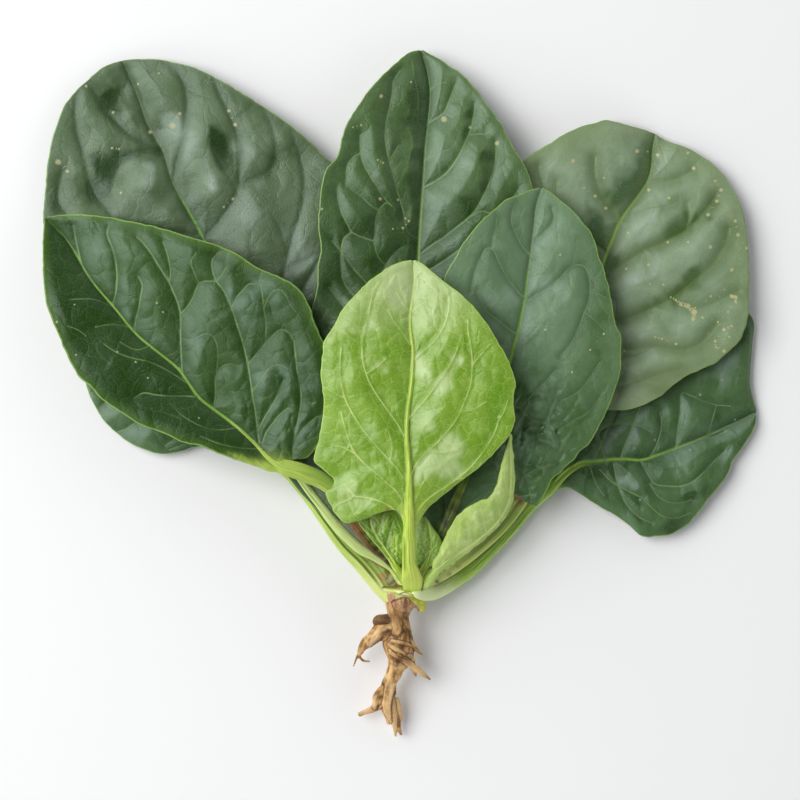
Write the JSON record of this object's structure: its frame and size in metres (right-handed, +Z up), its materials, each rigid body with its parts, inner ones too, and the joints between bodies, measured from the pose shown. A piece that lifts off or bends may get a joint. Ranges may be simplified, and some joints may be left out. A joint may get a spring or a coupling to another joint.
{
  "type": "spinach bunch",
  "caption": "Whole rooted spinach plant lying flat, broad puckered leaves fanned out from a short crown, a paler young leaf on top, and a tapering root with side roots.",
  "frame": {"origin": "on the surface the plant lies on, under the middle of its outline", "axes": "+Z up from the surface, +Y from the root towards the leaf tips, +X across the fan of leaves"},
  "size_m": [0.2272, 0.2188, 0.0317],
  "materials": {
    "leaf_dark_glossy": "waxy leaf, deep green with a blue-grey sheen, paler veins",
    "leaf_dark_matte": "leaf in the shade of the others, deep green",
    "leaf_grey_green": "mature leaf, grey-green with pale specks",
    "leaf_young": "young leaf, bright yellow-green, moist gloss, raised pale veins",
    "crown": "pale yellow-green stalk bases",
    "root": "dry, tan to brown, wrinkled lengthwise"
  },
  "bodies": {
    "root": {"leaf_lower_left": "leaf_dark_matte", "leaf_lower_right": "leaf_dark_matte", "leaf_upper_left": "leaf_dark_glossy", "leaf_upper_right": "leaf_grey_green", "leaf_centre": "leaf_dark_glossy", "leaf_left": "leaf_dark_glossy", "leaf_right": "leaf_grey_green", "leaf_front": "leaf_young", "leaf_folded": "leaf_young", "heart_leaf_left": "leaf_young", "heart_leaf_right": "leaf_young", "crown": "crown", "taproot": "root"}
  },
  "joints": []
}
